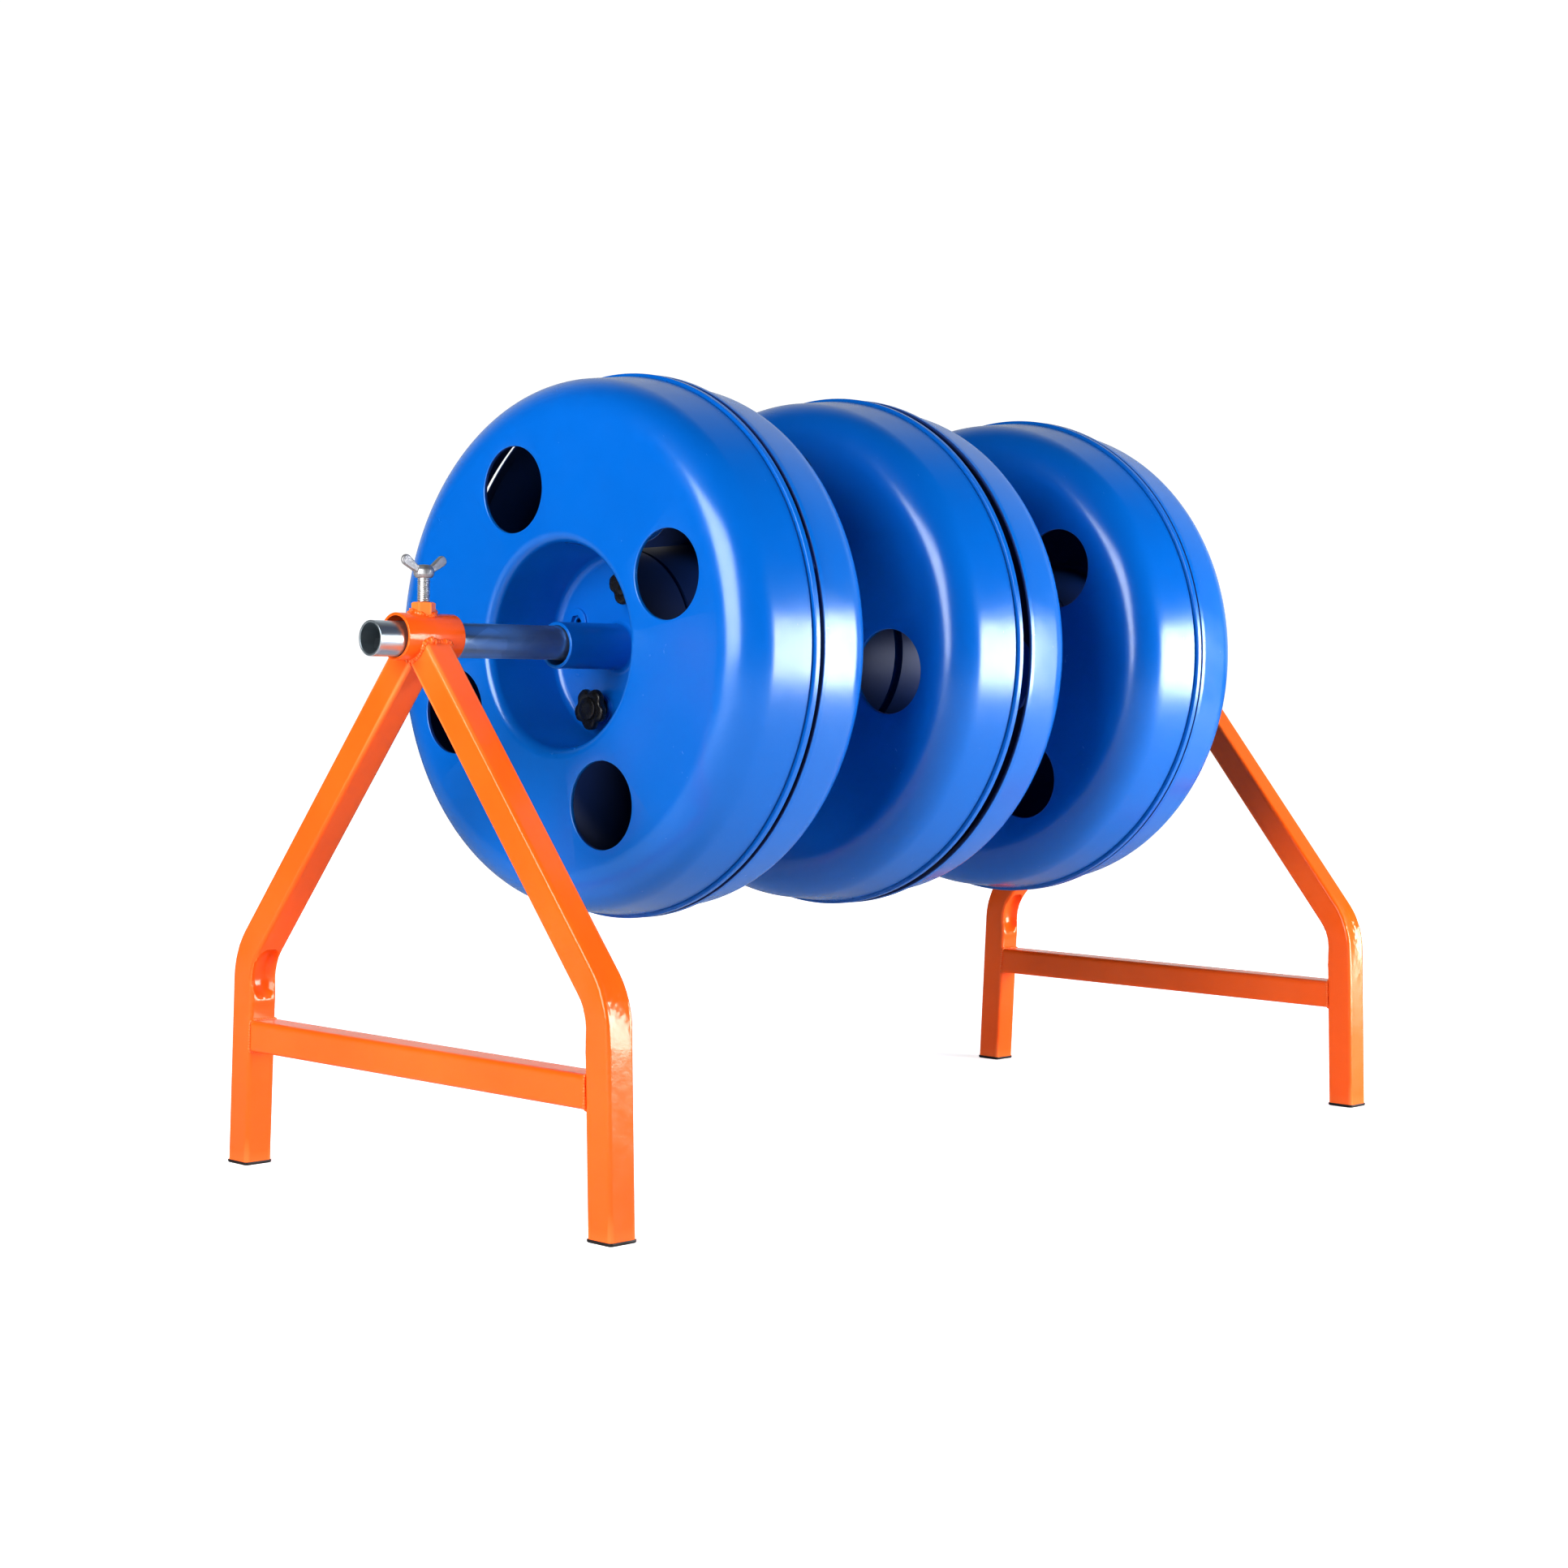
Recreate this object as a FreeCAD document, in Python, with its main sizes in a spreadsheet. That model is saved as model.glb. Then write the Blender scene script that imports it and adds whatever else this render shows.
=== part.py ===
"""Cable drum stand: three two-part plastic drums that turn on a pipe axle held by two A-frame stands.

Frame: millimetres, +Z up, +X along the axle, origin on the floor midway between the stands.
Each half shell has its own frame: parting plane at x = 0, outer face towards -X, axis along X.
"""
import FreeCAD, Part
import math
import os

import Sketcher

# The cells of the sheet: every driving dimension, in millimetres or degrees.
DIMENSIONS = {
    # axle and stands
    "axle_height": 507, "axle_length": 1260, "axle_radius": 16, "axle_wall": 2,
    "stand_spacing": 1140, "foot_spread": 516.4, "leg_splay": 2.15, "leg_lean": 39.4,
    "bend_radius": 68, "tube_width": 30, "tube_wall": 2, "tube_corner": 2.5,
    "crossbar_height": 126, "weld_gap": 0.05,
    "cap_thickness": 3, "cap_overhang": 0.6, "plug_width": 24.4, "plug_depth": 12,
    "collar_radius": 21.2, "collar_wall": 2.6, "collar_length": 64, "rest_gap": 0.3,
    # wing screw, M12
    "stud_radius": 6, "stud_length": 47.8, "thread_gap": 0.05, "stud_clearance": 0.5,
    "nut_flats": 19, "nut_height": 10,
    "head_lift": 39, "head_height": 12, "head_bore_depth": 9, "head_skirt": 3, "head_dome": 4,
    "head_foot_radius": 8, "head_radius": 9.5, "head_top_radius": 6.8,
    "wing_root": 3, "wing_foot": 4, "wing_reach": 27.5, "wing_tip_width": 6.5, "wing_tip_foot": 14,
    "wing_rise": 23, "wing_corner": 3.8, "wing_thickness": 5, "edge_radius": 1,
    # half shell of a drum
    "rim_radius": 261.2, "bead_width": 6, "bead_height": 2.8, "rim_draft": 7, "shell_depth": 85.4,
    "shell_wall": 4, "shoulder_radius": 40, "lip_radius": 11, "well_mouth": 98, "well_floor": 90,
    "well_depth": 81, "floor_fillet": 8, "hub_radius": 22.1, "hub_bore": 18.5, "hub_fillet": 5,
    "hole_pitch": 161.7, "hole_radius": 41.4,
    "boss_pitch": 64.5, "boss_radius": 14, "boss_height": 2, "bolt_hole": 4.5,
    "pocket_flats": 13.4, "pocket_depth": 4,
    # clamp bolt M8 and star knob
    "bolt_radius": 4, "bolt_length": 25, "bolt_flats": 13, "bolt_head": 5.3,
    "knob_radius": 20.5, "knob_base": 11, "knob_base_height": 8, "knob_height": 18, "knob_crown": 2,
    "knob_lobes": 5, "scallop_radius": 8.5, "scallop_pitch": 25, "knob_bore_depth": 16, "knob_seat": 0.2,
    "upper_knob_turn": -21, "lower_knob_turn": -3,
    # where each drum hangs, how far its halves stand apart, and how far it is turned
    "drum_a_offset": -323, "drum_a_gap": 5, "drum_a_turn": 21.4,
    "drum_b_offset": -29, "drum_b_gap": 12, "drum_b_turn": 52,
    "drum_c_offset": 264, "drum_c_gap": 1.6, "drum_c_turn": 10,
}

X_AXIS = FreeCAD.Vector(1, 0, 0)
Y_AXIS = FreeCAD.Vector(0, 1, 0)
Z_AXIS = FreeCAD.Vector(0, 0, 1)
UPRIGHT = FreeCAD.Rotation()
ALONG_X = FreeCAD.Rotation(Y_AXIS, 90)
AGAINST_X = FreeCAD.Rotation(Y_AXIS, -90)

doc = FreeCAD.newDocument("CableDrumStand")
sheet = doc.addObject("Spreadsheet::Sheet", "Size")
nodes = []


def fill_sheet():
    """One row per dimension: its name in column A, its value in column B."""
    for row, (alias, number) in enumerate(DIMENSIONS.items(), start=1):
        sheet.set(f"A{row}", alias)
        sheet.set(f"B{row}", str(number))
        sheet.setAlias(f"B{row}", alias)
    doc.recompute()


def value(expression):
    """The number that an expression in the sheet's cells gives now."""
    return float(sheet.evalExpression(expression))


# ---------------------------------------------------------------- placing and binding

def place(item, x="0", y="0", z="0", rotation=UPRIGHT):
    """Set an object's Placement and bind its position to the sheet."""
    item.Placement = FreeCAD.Placement(FreeCAD.Vector(value(x), value(y), value(z)), rotation)
    for axis, expression in zip("xyz", (x, y, z)):
        item.setExpression(f"Placement.Base.{axis}", expression)


def finish(item, label):
    """Name a finished sub-part and list it for writing."""
    item.Label = label
    nodes.append(item)
    return item


def new_body(name):
    return doc.addObject("PartDesign::Body", name)


def origin_feature(body, role):
    return next(feature for feature in body.Origin.OriginFeatures if feature.Role == role)


# ---------------------------------------------------------------- sketches

def new_sketch(body, name, plane, offset=None):
    """A sketch on one of the body's own origin planes, moved along its normal by an expression."""
    sketch = body.newObject("Sketcher::SketchObject", name)
    sketch.AttachmentSupport = [(origin_feature(body, plane), "")]
    sketch.MapMode = "FlatFace"
    if offset:
        sketch.setExpression("AttachmentOffset.Base.z", offset)
    return sketch


def constrain(sketch, kind, *arguments, expression=None):
    """Add one constraint, and bind its value when an expression is given."""
    if expression is None:
        sketch.addConstraint(Sketcher.Constraint(kind, *arguments))
        return
    index = sketch.addConstraint(Sketcher.Constraint(kind, *arguments, value(expression)))
    sketch.setExpression(f"Constraints[{index}]", expression)


def pin_point(sketch, geometry, point, x, y):
    """Hold a point of the sketch at expressions x and y; a zero puts it on the other axis."""
    if x == "0":
        constrain(sketch, "PointOnObject", geometry, point, -2)
    else:
        constrain(sketch, "DistanceX", -1, 1, geometry, point, expression=x)
    if y == "0":
        constrain(sketch, "PointOnObject", geometry, point, -1)
    else:
        constrain(sketch, "DistanceY", -1, 1, geometry, point, expression=y)


def draw_circle(sketch, x, y, radius):
    centre = FreeCAD.Vector(value(x), value(y), 0)
    index = sketch.addGeometry(Part.Circle(centre, Z_AXIS, value(radius)), False)
    pin_point(sketch, index, 3, x, y)
    constrain(sketch, "Radius", index, expression=radius)


def corner_arc(corner, before, after, radius):
    """The arc that rounds a corner: its two tangent points, its geometry, and whether it turns left."""
    into = (corner - before).normalize()
    out = (after - corner).normalize()
    turn = math.atan2(into.x * out.y - into.y * out.x, into.dot(out))
    reach = radius * math.tan(abs(turn) / 2)
    start = corner - into * reach
    end = corner + out * reach
    side = FreeCAD.Vector(-into.y, into.x, 0) * (1 if turn > 0 else -1)
    centre = start + side * radius
    first, last = (start, end) if turn > 0 else (end, start)
    angles = [math.atan2(point.y - centre.y, point.x - centre.x) for point in (first, last)]
    if angles[1] < angles[0]:
        angles[1] += 2 * math.pi
    return start, end, Part.ArcOfCircle(Part.Circle(centre, Z_AXIS, radius), *angles), turn > 0


def draw_outline(sketch, corners, closed=True):
    """Lines through corners (x, y) or (x, y, radius), all expressions; a radius rounds its corner."""
    count = len(corners)
    points = [FreeCAD.Vector(value(corner[0]), value(corner[1]), 0) for corner in corners]
    starts, ends, arcs = list(points), list(points), {}
    for i, corner in enumerate(corners):
        if len(corner) == 3:
            around = (points[i - 1], points[(i + 1) % count])
            ends[i], starts[i], arc, left = corner_arc(points[i], *around, value(corner[2]))
            arcs[i] = (arc, left)
    line_count = count if closed else count - 1
    lines = [sketch.addGeometry(Part.LineSegment(starts[i], ends[(i + 1) % count]), False)
             for i in range(line_count)]
    for i, corner in enumerate(corners):
        before = lines[i - 1] if closed or i > 0 else None
        after = lines[i] if i < line_count else None
        if i in arcs:
            arc, left = arcs[i]
            index = sketch.addGeometry(arc, False)
            constrain(sketch, "Tangent", before, 2, index, 1 if left else 2)
            constrain(sketch, "Tangent", index, 2 if left else 1, after, 1)
            constrain(sketch, "Radius", index, expression=corner[2])
            mark = sketch.addGeometry(Part.Point(points[i]), True)
            constrain(sketch, "PointOnObject", mark, 1, before)
            constrain(sketch, "PointOnObject", mark, 1, after)
            pin_point(sketch, mark, 1, corner[0], corner[1])
            continue
        if before is not None and after is not None:
            constrain(sketch, "Coincident", before, 2, after, 1)
        if after is None:
            pin_point(sketch, before, 2, corner[0], corner[1])
        else:
            pin_point(sketch, after, 1, corner[0], corner[1])


def draw_square(sketch, width, radius):
    """A square with rounded corners about the sketch's origin."""
    half = f"({width}) / 2"
    draw_outline(sketch, [(half, half, radius), ("-" + half, half, radius),
                          ("-" + half, "-" + half, radius), (half, "-" + half, radius)])


def draw_hexagon(sketch, x, y, flats):
    """A regular hexagon with its flats facing the sketch's +-y."""
    corners = []
    for angle in range(0, 360, 60):
        corners.append((f"{x} + {flats} / sqrt(3) * cos({angle}deg)",
                        f"{y} + {flats} / sqrt(3) * sin({angle}deg)"))
    draw_outline(sketch, corners)


# ---------------------------------------------------------------- features

def pad(body, sketch, length, reverse=False, middle=False):
    feature = body.newObject("PartDesign::Pad", sketch.Name + "Pad")
    feature.Profile = sketch
    feature.Midplane = middle
    feature.Reversed = reverse
    feature.setExpression("Length", length)
    return feature


def pocket(body, sketch, length, reverse=False):
    """Cut against the sketch's normal, or along it when reversed."""
    feature = body.newObject("PartDesign::Pocket", sketch.Name + "Pocket")
    feature.Profile = sketch
    feature.Reversed = reverse
    feature.setExpression("Length", length)
    return feature


def revolve(body, sketch, axis):
    feature = body.newObject("PartDesign::Revolution", sketch.Name + "Revolution")
    feature.Profile = sketch
    feature.ReferenceAxis = (sketch, [axis])
    feature.Angle = 360
    return feature


def repeat_around(body, features, axis, occurrences):
    pattern = body.newObject("PartDesign::PolarPattern", features[0].Name + "Pattern")
    pattern.Originals = features
    pattern.Axis = (origin_feature(body, axis), [""])
    pattern.Angle = 360
    pattern.setExpression("Occurrences", occurrences)
    body.Tip = pattern
    return pattern


def cylinder(name, radius, height, x="0", y="0", z="0", rotation=UPRIGHT):
    item = doc.addObject("Part::Cylinder", name)
    item.setExpression("Radius", radius)
    item.setExpression("Height", height)
    place(item, x, y, z, rotation)
    return item


def box(name, length, width, height, x, y, z):
    item = doc.addObject("Part::Box", name)
    for side, expression in (("Length", length), ("Width", width), ("Height", height)):
        item.setExpression(side, expression)
    place(item, x, y, z)
    return item


def cut(name, base, *tools):
    """Base minus the tools, as one Part::Cut."""
    tool = tools[0]
    if len(tools) > 1:
        tool = doc.addObject("Part::MultiFuse", name + "_cutter")
        tool.Shapes = list(tools)
    item = doc.addObject("Part::Cut", name)
    item.Base = base
    item.Tool = tool
    return item


# ---------------------------------------------------------------- axle

def make_axle():
    """A galvanised pipe with open ends."""
    start = "-Size.axle_length / 2"
    outside = cylinder("axle_outside", "Size.axle_radius", "Size.axle_length",
                       start, "0", "Size.axle_height", ALONG_X)
    bore = cylinder("axle_bore", "Size.axle_radius - Size.axle_wall", "Size.axle_length",
                    start, "0", "Size.axle_height", ALONG_X)
    finish(cut("axle_pipe", outside, bore), "axle_pipe")


# ---------------------------------------------------------------- stands
# A stand is made about its own middle plane x = 0 and then moved to its place along the axle.

COLLAR_HEIGHT = ("(Size.axle_height + Size.collar_radius - Size.collar_wall"
                 " - Size.axle_radius - Size.rest_gap)")
STUD_TIP = "(Size.axle_height + Size.axle_radius + Size.rest_gap)"
BEND_HEIGHT = ("((Size.axle_height * tan(Size.leg_lean * 1deg) - Size.foot_spread / 2)"
               " / (tan(Size.leg_lean * 1deg) - tan(Size.leg_splay * 1deg)))")


def make_collar(side, x):
    """A short tube that the axle passes through, with a hole for the wing screw in its top."""
    start = "-Size.collar_length / 2"
    outside = cylinder(side + "_collar_outside", "Size.collar_radius", "Size.collar_length",
                       start, "0", COLLAR_HEIGHT, ALONG_X)
    bore = cylinder(side + "_collar_bore", "Size.collar_radius - Size.collar_wall",
                    "Size.collar_length", start, "0", COLLAR_HEIGHT, ALONG_X)
    hole = cylinder(side + "_collar_hole", "Size.stud_radius + Size.stud_clearance",
                    "2 * Size.collar_radius", "0", "0", COLLAR_HEIGHT)
    collar = cut(side + "_collar", outside, bore, hole)
    place(collar, x)
    finish(collar, side + "_collar")


def make_leg(side, end, x):
    """A square tube, bent once, cut flat at the foot and coped to the collar at the top."""
    name = f"{side}_{end}_leg"
    body = new_body(name + "_tube")
    profile = new_sketch(body, name + "_profile", "XY_Plane")
    draw_square(profile, "Size.tube_width", "Size.tube_corner")
    draw_square(profile, "Size.tube_width - 2 * Size.tube_wall", "Size.tube_corner / 2")
    spine = new_sketch(body, name + "_spine", "YZ_Plane")
    bend = f"({BEND_HEIGHT} / cos(Size.leg_splay * 1deg))"
    upper = f"((Size.axle_height - {BEND_HEIGHT}) / cos(Size.leg_lean * 1deg))"
    turn = "((Size.leg_lean - Size.leg_splay) * 1deg)"
    draw_outline(spine, [("0", "0"), ("0", bend, "Size.bend_radius"),
                         (f"{upper} * sin{turn}", f"{bend} + {upper} * cos{turn}")], closed=False)
    tube = body.newObject("PartDesign::AdditivePipe", name + "_pipe")
    tube.Profile = profile
    tube.Spine = (spine, ["Edge1", "Edge2", "Edge3"])
    sign = "-" if end == "front" else ""
    lean = value("Size.leg_splay") * (-1 if end == "front" else 1)
    rotation = FreeCAD.Rotation(X_AXIS, lean)
    if end == "rear":
        rotation = rotation * FreeCAD.Rotation(Z_AXIS, 180)
    place(body, "0", f"{sign}Size.foot_spread / 2", "0", rotation)

    reach = "Size.foot_spread"
    collar = cylinder(name + "_cope", "Size.collar_radius", "Size.collar_length",
                      "-Size.collar_length / 2", "0", COLLAR_HEIGHT, ALONG_X)
    beyond = box(name + "_mitre", "Size.collar_length", reach, reach, "-Size.collar_length / 2",
                 "-Size.foot_spread" if end == "rear" else "0", "Size.axle_height - Size.foot_spread / 2")
    floor = box(name + "_foot_cut", "Size.collar_length", "2 * Size.foot_spread", reach,
                "-Size.collar_length / 2", "-Size.foot_spread", "Size.cap_thickness - Size.foot_spread")
    leg = cut(name, body, collar, beyond, floor)
    place(leg, x)
    finish(leg, name)


def make_foot_cap(side, end, x):
    """A plastic cap whose plug fills the open end of the leg."""
    name = f"{side}_{end}_foot_cap"
    y = "-Size.foot_spread / 2" if end == "front" else "Size.foot_spread / 2"
    body = new_body(name)
    rim = new_sketch(body, name + "_rim", "XY_Plane")
    draw_square(rim, "Size.tube_width + 2 * Size.cap_overhang", "Size.tube_corner")
    pad(body, rim, "Size.cap_thickness")
    plug = new_sketch(body, name + "_plug", "XY_Plane")
    draw_square(plug, "Size.plug_width", "Size.tube_corner")
    pad(body, plug, "Size.cap_thickness + Size.plug_depth")
    place(body, x, y, "0")
    finish(body, name)


def make_crossbar(side, x):
    """The same square tube, cut straight and welded between the legs below the bends."""
    name = side + "_crossbar"
    body = new_body(name)
    profile = new_sketch(body, name + "_profile", "XZ_Plane")
    draw_square(profile, "Size.tube_width", "Size.tube_corner")
    draw_square(profile, "Size.tube_width - 2 * Size.tube_wall", "Size.tube_corner / 2")
    top = "(Size.crossbar_height + Size.tube_width / 2)"
    length = (f"Size.foot_spread - 2 * {top} * tan(Size.leg_splay * 1deg)"
              " - Size.tube_width / cos(Size.leg_splay * 1deg) - 2 * Size.weld_gap")
    pad(body, profile, length, middle=True)
    place(body, x, "0", "Size.crossbar_height")
    finish(body, name)


def make_clamp_nut(side, x):
    """A hexagon nut, coped to the collar's top and welded to it."""
    name = side + "_clamp_nut"
    body = new_body(name + "_blank")
    outline = new_sketch(body, name + "_outline", "XY_Plane")
    draw_hexagon(outline, "0", "0", "Size.nut_flats")
    draw_circle(outline, "0", "0", "Size.stud_radius + Size.thread_gap")
    saddle = "Size.collar_wall"
    pad(body, outline, f"Size.nut_height + {saddle}")
    place(body, "0", "0", f"{COLLAR_HEIGHT} + Size.collar_radius - {saddle}")
    cope = cylinder(name + "_cope", "Size.collar_radius", "Size.collar_length",
                    "-Size.collar_length / 2", "0", COLLAR_HEIGHT, ALONG_X)
    nut = cut(name, body, cope)
    place(nut, x)
    finish(nut, name)


def make_wing_screw(side, x):
    """A threaded stud with a cast wing head pressed on its top end."""
    stud = cylinder(side + "_wing_screw_stud", "Size.stud_radius", "Size.stud_length", x, "0", STUD_TIP)
    finish(stud, side + "_wing_screw_stud")

    name = side + "_wing_head"
    body = new_body(name)
    hub = new_sketch(body, name + "_hub", "XZ_Plane")
    draw_outline(hub, [("0", "0"), ("Size.head_foot_radius", "0", "Size.edge_radius"),
                       ("Size.head_radius", "Size.head_skirt", "Size.edge_radius"),
                       ("Size.head_top_radius", "Size.head_height", "Size.head_dome"),
                       ("0", "Size.head_height")])
    revolve(body, hub, "V_Axis")
    wing = new_sketch(body, name + "_wing", "XZ_Plane")
    shoulder = "Size.head_height - Size.edge_radius"
    draw_outline(wing, [("Size.wing_root", "Size.wing_foot"),
                        ("Size.head_radius", "Size.wing_foot", "Size.wing_corner"),
                        ("Size.wing_reach", "Size.wing_tip_foot", "Size.wing_corner"),
                        ("Size.wing_reach - Size.wing_tip_width", "Size.wing_rise", "Size.wing_corner"),
                        ("Size.head_top_radius", shoulder, "Size.wing_corner"),
                        ("Size.wing_root", shoulder)])
    blade = pad(body, wing, "Size.wing_thickness", middle=True)
    repeat_around(body, [blade], "Z_Axis", "2")
    bore = new_sketch(body, name + "_bore", "XY_Plane")
    draw_circle(bore, "0", "0", "Size.stud_radius + Size.thread_gap")
    pocket(body, bore, "Size.head_bore_depth", reverse=True)
    place(body, x, "0", f"{STUD_TIP} + Size.head_lift")
    finish(body, name)


def make_stand(side, x):
    make_collar(side, x)
    for end in ("front", "rear"):
        make_leg(side, end, x)
        make_foot_cap(side, end, x)
    make_crossbar(side, x)
    make_clamp_nut(side, x)
    make_wing_screw(side, x)


# ---------------------------------------------------------------- drums

DRUM_HEIGHT = "(Size.axle_height + Size.axle_radius - Size.hub_bore + Size.rest_gap)"
FLOOR = "(Size.shell_depth - Size.well_depth)"
BOSS_END = f"({FLOOR} + Size.boss_height)"
SLOPE = "tan(Size.rim_draft * 1deg)"
SKIN = "(Size.shell_wall / cos(Size.rim_draft * 1deg))"


def draw_shell_profile(sketch):
    """The wall's section: rim bead, tapered rim, shoulder, face, well, floor and hub, then back inside."""
    rim = "(Size.rim_radius - Size.bead_height)"
    face = "-Size.shell_depth"
    inner_face = "-(Size.shell_depth - Size.shell_wall)"
    outside = f"{rim} - (Size.shell_depth - Size.bead_width) * {SLOPE}"
    inside = f"{rim} - (Size.shell_depth - Size.shell_wall - Size.bead_width) * {SLOPE} - {SKIN}"
    draw_outline(sketch, [
        ("0", "Size.rim_radius", "Size.edge_radius"),
        ("-Size.bead_width", "Size.rim_radius", "Size.edge_radius"),
        ("-Size.bead_width", rim),
        (face, outside, "Size.shoulder_radius"),
        (face, "Size.well_mouth", "Size.lip_radius"),
        (f"-{FLOOR}", "Size.well_floor", "Size.floor_fillet"),
        (f"-{FLOOR}", "Size.hub_radius", "Size.hub_fillet"),
        (face, "Size.hub_radius", "Size.edge_radius"),
        (face, "Size.hub_bore", "Size.edge_radius"),
        ("0", "Size.hub_bore"),
        ("0", "Size.hub_radius"),
        (f"-({FLOOR} - Size.shell_wall)", "Size.hub_radius"),
        (f"-({FLOOR} - Size.shell_wall)", "Size.well_floor"),
        ("0", "Size.well_floor"),
        ("0", "Size.well_floor + Size.shell_wall"),
        (inner_face, "Size.well_mouth + Size.shell_wall", "Size.lip_radius - Size.shell_wall"),
        (inner_face, inside, "Size.shoulder_radius - Size.shell_wall"),
        ("0", f"{rim} + Size.bead_width * {SLOPE} - {SKIN}"),
    ])


def make_shell(name):
    """One half shell: a revolved wall with four face holes and four bolt bosses, two with hex pockets."""
    body = new_body(name)
    profile = new_sketch(body, name + "_profile", "XY_Plane")
    draw_shell_profile(profile)
    revolve(body, profile, "H_Axis")

    opening = new_sketch(body, name + "_opening", "YZ_Plane", f"-{FLOOR}")
    draw_circle(opening, "Size.hole_pitch * cos(45deg)", "Size.hole_pitch * sin(45deg)", "Size.hole_radius")
    repeat_around(body, [pocket(body, opening, "Size.shell_depth")], "X_Axis", "4")

    boss = new_sketch(body, name + "_boss", "YZ_Plane")
    draw_circle(boss, "Size.boss_pitch", "0", "Size.boss_radius")
    repeat_around(body, [pad(body, boss, BOSS_END, reverse=True)], "X_Axis", "4")

    hole = new_sketch(body, name + "_bolt_hole", "YZ_Plane")
    draw_circle(hole, "Size.boss_pitch", "0", "Size.bolt_hole")
    repeat_around(body, [pocket(body, hole, BOSS_END)], "X_Axis", "4")

    seat = new_sketch(body, name + "_pocket", "YZ_Plane", f"-{BOSS_END}")
    draw_hexagon(seat, "Size.boss_pitch", "0", "Size.pocket_flats")
    repeat_around(body, [pocket(body, seat, "Size.pocket_depth", reverse=True)], "X_Axis", "2")
    return body


def make_bolt(name):
    """A hexagon bolt: the underside of its head at z = 0, the head above, the shank below."""
    body = new_body(name)
    head = new_sketch(body, name + "_head", "XY_Plane")
    draw_hexagon(head, "0", "0", "Size.bolt_flats")
    pad(body, head, "Size.bolt_head")
    shank = new_sketch(body, name + "_shank", "XY_Plane")
    draw_circle(shank, "0", "0", "Size.bolt_radius")
    pad(body, shank, "Size.bolt_length", reverse=True)
    return body


def make_knob(name):
    """A star knob with a blind bore: its foot at z = 0, its lobed grip above."""
    body = new_body(name)
    foot = new_sketch(body, name + "_foot", "XY_Plane")
    draw_circle(foot, "0", "0", "Size.knob_base")
    pad(body, foot, "Size.knob_height")
    grip = new_sketch(body, name + "_grip", "XY_Plane", "Size.knob_base_height")
    draw_circle(grip, "0", "0", "Size.knob_radius")
    pad(body, grip, "Size.knob_height - Size.knob_base_height - Size.knob_crown")
    scallop = new_sketch(body, name + "_scallop", "XY_Plane", "Size.knob_base_height")
    draw_circle(scallop, "Size.scallop_pitch", "0", "Size.scallop_radius")
    repeat_around(body, [pocket(body, scallop, "Size.knob_height", reverse=True)], "Z_Axis", "Size.knob_lobes")
    bore = new_sketch(body, name + "_bore", "XY_Plane")
    draw_circle(bore, "0", "0", "Size.bolt_radius + Size.thread_gap")
    pocket(body, bore, "Size.knob_bore_depth", reverse=True)
    return body


def make_drum(number, letter):
    """Two identical half shells, the right one flipped and turned so its hex pockets face the knobs."""
    prefix = f"drum_{number}_"
    middle = f"Size.drum_{letter}_offset"
    gap = f"Size.drum_{letter}_gap"
    turn = value(f"Size.drum_{letter}_turn")
    about_axle = FreeCAD.Rotation(X_AXIS, turn)
    left_parting = f"{middle} - {gap} / 2"
    right_parting = f"{middle} + {gap} / 2"

    left = make_shell(prefix + "left_shell")
    place(left, left_parting, "0", DRUM_HEIGHT, about_axle)
    finish(left, prefix + "left_shell")
    right = make_shell(prefix + "right_shell")
    flipped = about_axle * FreeCAD.Rotation(X_AXIS, 90) * FreeCAD.Rotation(Z_AXIS, 180)
    place(right, right_parting, "0", DRUM_HEIGHT, flipped)
    finish(right, prefix + "right_shell")

    for word, angle in (("upper", 90), ("lower", 270)):
        at = f"((Size.drum_{letter}_turn + {angle}) * 1deg)"
        y = f"Size.boss_pitch * cos{at}"
        z = f"{DRUM_HEIGHT} + Size.boss_pitch * sin{at}"
        around = FreeCAD.Rotation(X_AXIS, turn + angle)
        bolt = make_bolt(prefix + word + "_bolt")
        head_seat = f"{right_parting} + {BOSS_END} - Size.pocket_depth"
        place(bolt, head_seat, y, z, around * ALONG_X * FreeCAD.Rotation(Z_AXIS, 90))
        finish(bolt, prefix + word + "_bolt")
        knob = make_knob(prefix + word + "_knob")
        grip = FreeCAD.Rotation(X_AXIS, value(f"Size.{word}_knob_turn"))
        place(knob, f"{left_parting} - {BOSS_END} - Size.knob_seat", y, z, grip * around * AGAINST_X)
        finish(knob, prefix + word + "_knob")


# ---------------------------------------------------------------- checking and writing

def check_document():
    """Stop if any object failed, or any sub-part is not one valid solid."""
    for item in doc.Objects:
        if "Invalid" in item.State or "Error" in item.State:
            raise RuntimeError(f"{item.Label} failed: {item.State}")
    for item in nodes:
        shape = item.Shape
        if shape.isNull() or not shape.isValid() or len(shape.Solids) != 1:
            raise RuntimeError(f"{item.Label} is not one valid solid")


def write_parts():
    os.makedirs("parts", exist_ok=True)
    for item in nodes:
        item.Shape.exportStep(f"parts/{item.Label}.step")
        print(f"{item.Label}: {item.Shape.Volume / 1000:.1f} cm3")


fill_sheet()
make_axle()
make_stand("left", "-Size.stand_spacing / 2")
make_stand("right", "Size.stand_spacing / 2")
for drum_number, drum_letter in enumerate("abc", start=1):
    make_drum(drum_number, drum_letter)
doc.recompute()
check_document()
write_parts()
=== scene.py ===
"""Looks of a cable drum stand.

Two orange A-frame stands carry a galvanised pipe axle with three blue drums of two half shells each.
Lengths in the shape code are millimetres in the part's own frame (+X along the axle, +Z up);
to_mesh() turns them into metres.
"""

import math

import bmesh
import bpy
from mathutils import Matrix, Vector, noise


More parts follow.
